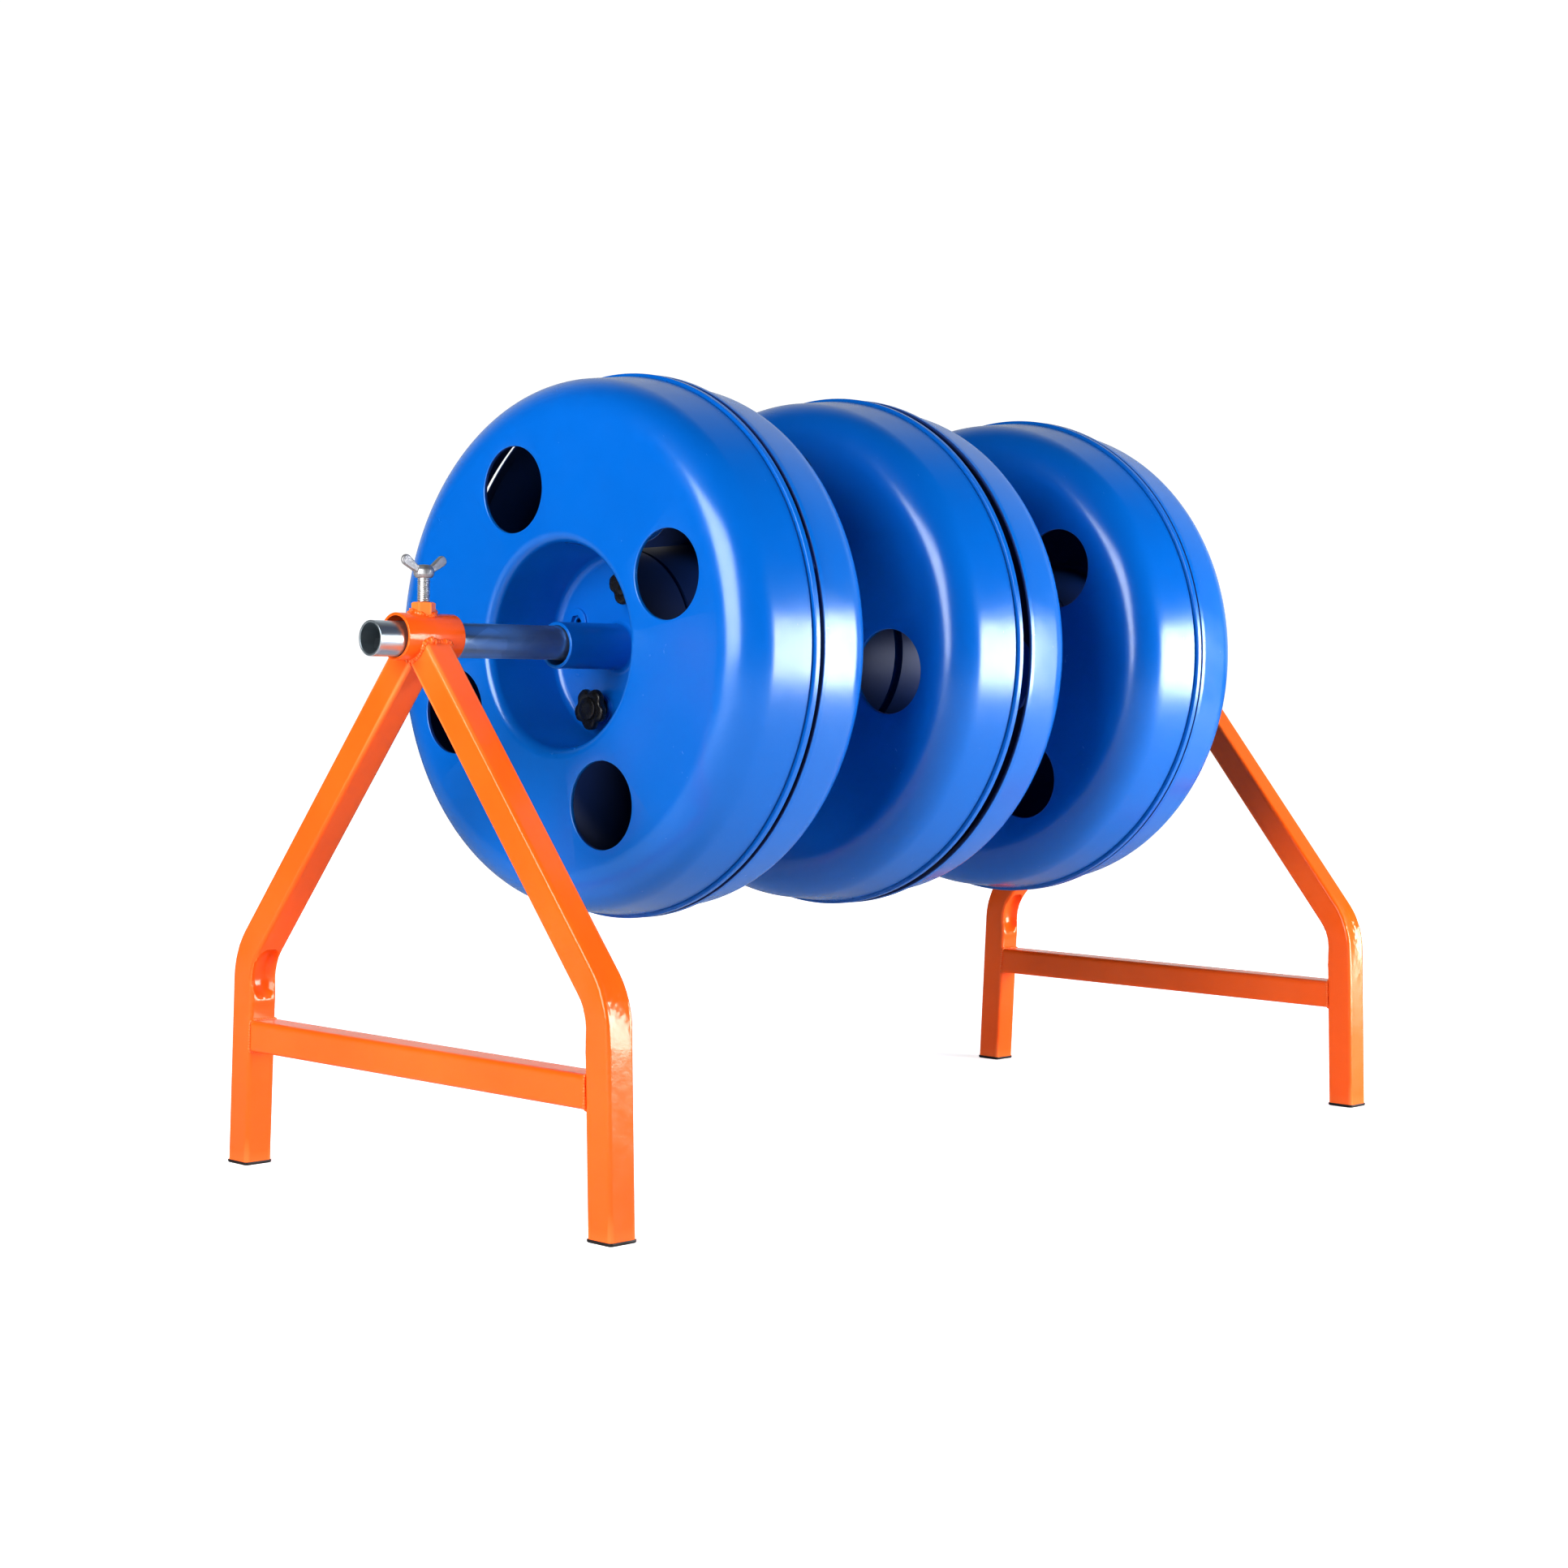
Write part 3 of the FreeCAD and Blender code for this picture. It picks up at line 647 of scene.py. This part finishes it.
def wing_mesh(side):
    """Hub and two blades melted together like a casting, on the Z axis from z = 0."""
    profile = rounded([(0, 0), (0, 7.6, 0.8), (3.2, 9.4, 1.6), (7.5, 9.0, 2.5), (11.6, 5.6, 2.5), (12, 0)],
                      step=12)
    points, faces = lathe(profile, 48, closed=False)
    points = [(y, z, x) for x, y, z in points]
    hub = to_mesh("hub", points, faces)
    shape = bmesh.new()
    shape.from_mesh(hub)
    outline = rounded([(2.5, 4.2), (9.0, 4.4, 3.0), (27.3, 13.6, 4.6), (21.6, 22.9, 4.6), (7.6, 10.8, 3.0),
                       (2.5, 10.6)], step=12)
    for sign in (-1, 1):
        rings = []
        for y, inset in ((-2.6, 1.3), (-2.2, 0.3), (0, 0), (2.2, 0.3), (2.6, 1.3)):
            middle = Vector((15.5, 12.8))
            ring = []
            for point in outline:
                arm = point - middle
                moved = middle + arm * (1 - inset / max(arm.length, 4.0))
                thin = 1.15 - 0.022 * max(0.0, point.x - 6)
                ring.append((sign * moved.x, y * thin, moved.y))
            rings.append(ring)
        blade = to_mesh("blade", *loft(rings))
        shape.from_mesh(blade)
    mesh = bpy.data.meshes.new(side + "_wing")
    shape.to_mesh(mesh)
    shape.free()
    item = new_object("casting", mesh)
    melt = item.modifiers.new("melt", "REMESH")
    melt.mode = "VOXEL"
    melt.voxel_size = 0.45 * MM
    relax = item.modifiers.new("relax", "SMOOTH")
    relax.iterations = 4
    mesh = baked(item)
    smooth(mesh, 70)
    return mesh


def baked(item):
    """The mesh of an object with its modifiers applied; the object is removed."""
    graph = bpy.context.evaluated_depsgraph_get()
    mesh = bpy.data.meshes.new_from_object(item.evaluated_get(graph))
    bpy.data.objects.remove(item)
    return mesh


def make_stand(side):
    low, high = box_mm(f"{side}_collar")
    x = (low.x + high.x) / 2
    make_collar(side, x)
    section = square_section(TUBE, TUBE_CORNER, 26)
    route = leg_route()
    for end in ("front", "rear"):
        collar_line, mitre_line = make_leg(side, end, x, section, route)
        first = max(range(len(collar_line)), key=lambda i: (
            Vector(collar_line[i]) - Vector(collar_line[i - 1])).length)
        line = collar_line[first:] + collar_line[:first]
        weld_bead(f"{side}_{end}_leg_weld", line, 2.9, f"{side}_stand", rough=0.4)
        make_foot(side, end, x)
    # the seam where the two legs meet under the collar, on both side faces and along the inner corner
    lowest = min(point[2] for point in mitre_line)
    highest = COLLAR_HEIGHT - COLLAR_RADIUS
    half = TUBE / 2 + 0.2
    seam = [(x - half, 0, highest), (x - half, 0, lowest), (x + half, 0, lowest), (x + half, 0, highest)]
    weld_bead(side + "_mitre_weld", seam, 1.7, f"{side}_stand", rough=0.3)
    make_crossbar(side, x)
    make_clamp(side, x)


# ---------------------------------------------------------------- drums

RIM, BEAD_WIDTH, BEAD_HEIGHT, DRAFT = 261.2, 6.0, 2.8, math.tan(math.radians(7))
DEPTH, WALL = 85.4, 4.0
FLOOR_X = 4.4
MOUTH, WELL = 98.0, 90.0
HUB, HUB_BORE = 22.1, 18.5
HOLE_PITCH, HOLE = 161.7, 41.4
BOSS_PITCH, BOSS, BOSS_END, BOLT_HOLE = 64.5, 14.0, 6.4, 4.5
POCKET_FLATS, POCKET_DEPTH = 13.4, 4.0
BOLT_FLATS, BOLT_HEAD, BOLT_RADIUS, BOLT_PITCH, BOLT_LENGTH = 13.0, 5.3, 4.0, 1.25, 25.0
SLIVER = 0.02 * MM
TURNS = {1: 21.4, 2: 52.0, 3: 10.0}
KNOB_TURNS, KNOB_GAP = {"upper": -21.0, "lower": -3.0}, 0.2


def shell_profile():
    """(x, r) points round a half shell's section, from the parting plane over the outside and back."""
    rim = RIM - BEAD_HEIGHT
    skin = WALL / math.cos(math.atan(DRAFT))
    outside = rim - (DEPTH - BEAD_WIDTH) * DRAFT
    inside = rim - (DEPTH - WALL - BEAD_WIDTH) * DRAFT - skin
    groove, chamfer = BEAD_WIDTH + 2.0, 4.5
    return rounded([
        (0, RIM, 0.9), (-BEAD_WIDTH, RIM, 0.8), (-BEAD_WIDTH, rim - 1.5, 0.3), (-groove, rim - 1.5, 0.3),
        (-groove, rim - (groove - BEAD_WIDTH) * DRAFT, 0.6),
        (-DEPTH, outside, 40), (-DEPTH, MOUTH, 11), (-FLOOR_X, WELL, 8), (-FLOOR_X, HUB, 5),
        (-DEPTH, HUB, 1), (-DEPTH, HUB_BORE, 1), (0, HUB_BORE), (0, HUB), (-FLOOR_X + WALL, HUB),
        (-FLOOR_X + WALL, WELL), (0, WELL), (0, WELL + WALL), (-DEPTH + WALL, MOUTH + WALL, 7),
        (-DEPTH + WALL, inside, 36), (-chamfer, rim + (BEAD_WIDTH - chamfer) * DRAFT - skin, 1),
        (0, RIM - 2.4, 0.4)], step=3.5)


def turned_about(profile, pitch, angle, segments):
    """A lathe shape whose axis is parallel to X, at a pitch and an angle round the drum's axis."""
    points, faces = lathe(profile, segments, closed=False)
    y, z = pitch * math.cos(angle), pitch * math.sin(angle)
    return [(px, py + y, pz + z) for px, py, pz in points], faces


def shell_mesh():
    """A half shell about the X axis: parting plane at x = 0, outer face towards -X."""
    sharp = 28
    item = new_object("shell", to_mesh("shell", *lathe(shell_profile(), 192), sharp))
    added, drilled, pressed = bmesh.new(), bmesh.new(), bmesh.new()
    hole = [(-DEPTH - 3, 0), (-DEPTH - 3, HOLE + 1.4), (-DEPTH - 0.02, HOLE + 1.2),
            (-DEPTH + 0.12, HOLE + 0.72), (-DEPTH + 0.4, HOLE + 0.36), (-DEPTH + 0.75, HOLE + 0.1),
            (-DEPTH + 1.1, HOLE),
            (-DEPTH + WALL - 0.5, HOLE), (-DEPTH + WALL + 0.02, HOLE + 0.5), (-DEPTH + WALL + 3, HOLE + 0.7),
            (-DEPTH + WALL + 3, 0)]
    boss = [(0.0, 0), (0.0, BOSS), (-BOSS_END + 0.6, BOSS), (-BOSS_END + 0.17, BOSS - 0.18),
            (-BOSS_END, BOSS - 0.6), (-BOSS_END, 0)]
    bolt_hole = [(1, 0), (1, BOLT_HOLE), (-BOSS_END - 1, BOLT_HOLE), (-BOSS_END - 1, 0)]
    for quarter in range(4):
        for holder, profile, pitch, angle in (
                (drilled, hole, HOLE_PITCH, math.pi / 4), (added, boss, BOSS_PITCH, 0),
                (drilled, bolt_hole, BOSS_PITCH, 0)):
            segments = 120 if profile is hole else 48
            shape = to_mesh("tool", *turned_about(profile, pitch, angle + math.pi / 2 * quarter, segments))
            holder.from_mesh(shape)
    for angle in (0, math.pi):
        points, faces = hexagon(POCKET_FLATS, 0, POCKET_DEPTH + 2, 0)
        placed = [(z - BOSS_END - 2, x + BOSS_PITCH * math.cos(angle), y) for x, y, z in points]
        pressed.from_mesh(to_mesh("tool", placed, faces))
    tools = []
    for name, shape, operation in (("bosses", added, "UNION"), ("holes", drilled, "DIFFERENCE"),
                                   ("pockets", pressed, "DIFFERENCE")):
        mesh = bpy.data.meshes.new(name)
        shape.to_mesh(mesh)
        shape.free()
        tool = new_object(name, mesh)
        modifier = item.modifiers.new(name, "BOOLEAN")
        modifier.operation = operation
        modifier.solver = "MANIFOLD"
        modifier.object = tool
        tools.append(tool)
    mesh = baked(item)
    for tool in tools:
        bpy.data.objects.remove(tool)
    mesh.name = "half_shell"
    clean = bmesh.new()
    clean.from_mesh(mesh)
    bmesh.ops.remove_doubles(clean, verts=clean.verts, dist=SLIVER)
    bmesh.ops.dissolve_degenerate(clean, edges=clean.edges, dist=SLIVER)
    clean.to_mesh(mesh)
    clean.free()
    mesh.materials.clear()
    mesh.polygons.foreach_set("material_index", [0] * len(mesh.polygons))
    smooth(mesh, sharp)
    return mesh


def knob_mesh():
    """A star knob about the Z axis, its foot at z = 0."""
    rings = []
    for z, radius, star in ((0, 10.4, 0), (0.5, 11, 0), (6.4, 11, 0), (7.4, 11.6, 0.05), (8.0, 13.5, 0.4),
                            (8.3, 17.2, 0.8), (8.9, 19.2, 1), (9.9, 20.3, 1), (11.0, 20.5, 1),
                            (13.2, 20.5, 1), (14.5, 20.2, 1), (15.4, 19.3, 1), (15.9, 17.8, 0.95),
                            (16.15, 15.8, 0.85),
                            (16.2, 13.4, 0.3), (15.8, 11.7, 0), (15.8, 11.1, 0), (17.6, 10.6, 0),
                            (18, 9.8, 0), (17.9, 5, 0), (17.7, 0, 0)):
        ring = []
        for j in range(144):
            angle = 2 * math.pi * j / 144
            valley = (0.5 + 0.5 * math.cos(5 * angle)) ** 2
            reach = radius * (1 - 0.19 * star * valley)
            ring.append((reach * math.cos(angle), reach * math.sin(angle), z))
        rings.append(ring)
    return to_mesh("star_knob", *loft(rings), 40)


def bolt_mesh():
    """A hexagon bolt: the underside of its head at z = 0, the head above, the threaded shank below."""
    points, faces = hexagon(BOLT_FLATS, 0, BOLT_HEAD, 1)
    shank, more = thread(BOLT_RADIUS, BOLT_PITCH, -BOLT_LENGTH, 0.3, 24)
    more = [tuple(index + len(points) for index in face) for face in more]
    return to_mesh("bolt", points + shank, faces + more, 30)


def make_drum(number, shell, knob, bolt):
    """Two half shells, the right one turned round and a quarter turn on, with their knobs and bolts."""
    turn = Matrix.Rotation(math.radians(TURNS[number]), 4, "X")
    prefix = f"drum_{number}_"
    for side in ("left", "right"):
        low, high = box_mm(f"{prefix}{side}_shell")
        height = (low.z + high.z) / 2
        parting = high.x if side == "left" else low.x
        flip = Matrix() if side == "left" else Matrix.Rotation(math.pi, 4, "Z")
        turned = turn if side == "left" else turn @ Matrix.Rotation(math.pi / 2, 4, "X") @ flip
        half = shell.copy()
        half.transform(flip.inverted() @ turned)
        half.name = f"{prefix}{side}_half_shell"
        place = Matrix.Translation((parting * MM, 0, height * MM)) @ flip
        body = f"drum_{number}" if side == "left" else f"drum_{number}_right"
        add_piece(f"{prefix}{side}_half", half, BLUE, body, [f"{prefix}{side}_shell"], place)
    left_parting = box_mm(prefix + "left_shell")[1].x
    for word, angle in (("upper", 90), ("lower", 270)):
        around = Matrix.Rotation(math.radians(TURNS[number] + angle), 4, "X")
        arm = around @ Vector((0, BOSS_PITCH, 0))
        at = Vector((left_parting - BOSS_END - KNOB_GAP, arm.y, height + arm.z)) * MM
        grip = Matrix.Rotation(math.radians(KNOB_TURNS[word]), 4, "X")
        place = Matrix.Translation(at) @ grip @ around @ Matrix.Rotation(-math.pi / 2, 4, "Y")
        add_piece(f"{prefix}{word}_star_knob", knob, KNOB, f"{prefix}{word}_knob",
                  [f"{prefix}{word}_knob"], place)
        head_top = box_mm(f"{prefix}{word}_bolt")[1].x
        at = Vector((head_top - BOLT_HEAD, arm.y, height + arm.z)) * MM
        turned = around @ Matrix.Rotation(math.pi / 2, 4, "Y") @ Matrix.Rotation(math.pi / 2, 4, "Z")
        add_piece(f"{prefix}{word}_hex_bolt", bolt, ZINC, f"drum_{number}_right",
                  [f"{prefix}{word}_bolt"], Matrix.Translation(at) @ turned)


# ---------------------------------------------------------------- floor, light and camera

SURROUND, BACKDROP = 0.02, 0.8


def make_stage():
    """A plain white floor that goes over into a white surround."""
    mesh = bpy.data.meshes.new("floor")
    reach = 30.0
    mesh.from_pydata([(-reach, -reach, 0), (reach, -reach, 0), (reach, reach, 0), (-reach, reach, 0)], [],
                     [(0, 1, 2, 3)])
    floor = new_object("floor", mesh)
    n = Nodes("white_floor")
    path = n.tree.nodes.new("ShaderNodeLightPath")
    distance = n.vector_math("LENGTH", n.coordinates, output="Value")
    glow = n.math("MULTIPLY", path.outputs["Is Camera Ray"], n.ramp(distance, 0.66, 1.0, 0.6, 3.0))
    mesh.materials.append(n.finish(Base_Color=(0.86, 0.86, 0.86), Roughness=0.9, Specular_IOR_Level=0.0,
                                   Emission_Color=(1, 1, 1), Emission_Strength=glow))

    world = bpy.data.worlds.new("surround")
    bpy.context.scene.world = world
    world.use_nodes = True
    tree = world.node_tree
    background = tree.nodes["Background"]
    background.inputs["Color"].default_value = (1, 1, 1, 1)
    direction = tree.nodes.new("ShaderNodeTexCoord")
    facing = tree.nodes.new("ShaderNodeVectorMath")
    facing.operation = "DOT_PRODUCT"
    facing.inputs[1].default_value = (0.72, 0.69, 0)
    tree.links.new(direction.outputs["Generated"], facing.inputs[0])
    backdrop = tree.nodes.new("ShaderNodeMapRange")
    for key, number in (("From Min", 0.35), ("From Max", 0.75), ("To Min", SURROUND), ("To Max", BACKDROP)):
        backdrop.inputs[key].default_value = number
    tree.links.new(facing.outputs["Value"], backdrop.inputs["Value"])
    path = tree.nodes.new("ShaderNodeLightPath")
    level = tree.nodes.new("ShaderNodeMapRange")
    level.inputs["To Max"].default_value = 1.05
    tree.links.new(path.outputs["Is Camera Ray"], level.inputs["Value"])
    tree.links.new(backdrop.outputs["Result"], level.inputs["To Min"])
    tree.links.new(level.outputs["Result"], background.inputs["Strength"])


def panel(name, location, target, width, height, radiance, reflected=True):
    """A soft box, or a fill that doesn't show in glossy reflections."""
    lamp = bpy.data.lights.new(name, "AREA")
    lamp.shape = "RECTANGLE"
    lamp.size, lamp.size_y = width, height
    lamp.energy = 4 * width * height * radiance
    item = new_object(name, lamp)
    item.location = location
    item.rotation_euler = (Vector(target) - Vector(location)).to_track_quat("-Z", "Y").to_euler()
    item.visible_glossy = reflected


def make_lights():
    panel("left_soft_box", (-3.4, -0.55, 1.4), (-0.4, 0, 0.5), 2.2, 2.2, 8.2)
    panel("right_soft_box", (1.75, -2.2, 0.5), (-0.1, -0.2, 0.5), 2.0, 1.05, 13.5)
    panel("front_fill", (1.32, -3.63, 1.49), (0, 0, 0.45), 1.4, 1.4, 6.0, reflected=False)
    panel("high_fill", (-3.06, 0, 3.02), (0, 0, 0.45), 1.4, 1.4, 1.5, reflected=False)


def make_camera():
    """A camera at the viewing angle that was fitted to the object's known edges."""
    data = bpy.data.cameras.new("camera")
    data.lens = 63.5
    item = new_object("camera", data)
    yaw, pitch, roll = math.radians(46.38), math.radians(-2.194), math.radians(0.848)
    item.matrix_world = (Matrix.Translation((-2.1477, -1.9543, 0.4771)) @ Matrix.Rotation(-yaw, 4, "Z")
                         @ Matrix.Rotation(math.pi / 2 + pitch, 4, "X") @ Matrix.Rotation(roll, 4, "Z"))
    bpy.context.scene.camera = item


make_axle()
for stand_side in ("left", "right"):
    make_stand(stand_side)
half_shell, star_knob, hex_bolt = shell_mesh(), knob_mesh(), bolt_mesh()
for drum_number in (1, 2, 3):
    make_drum(drum_number, half_shell, star_knob, hex_bolt)
make_stage()
make_lights()
make_camera()
bpy.context.scene.view_settings.view_transform = "Standard"
bpy.context.scene.view_settings.gamma = 0.8
